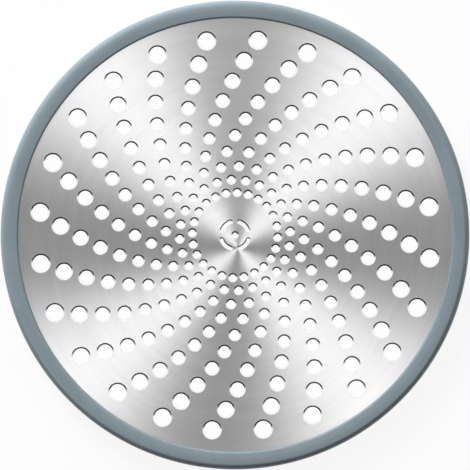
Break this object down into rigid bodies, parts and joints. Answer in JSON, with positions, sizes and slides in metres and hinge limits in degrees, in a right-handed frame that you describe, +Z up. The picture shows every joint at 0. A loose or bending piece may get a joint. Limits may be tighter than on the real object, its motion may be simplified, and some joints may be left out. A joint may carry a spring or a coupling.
{
  "type": "shower drain hair catcher",
  "caption": "Flat round drain cover: a brushed steel disc punched with drain holes in curved arms, its edge gripped by a moulded silicone rim.",
  "frame": {"origin": "on the floor that the foot stands on, under the middle of the disc", "axes": "+Z up through the middle of the disc, +Y towards the top of the picture, +X to its right"},
  "size_m": [0.145, 0.145, 0.0061],
  "materials": {
    "plate_steel": "brushed in circles round the middle",
    "rim_silicone": "satin moulded silicone"
  },
  "bodies": {
    "root": {"strainer_plate": "plate_steel", "silicone_rim": "rim_silicone"}
  },
  "joints": []
}
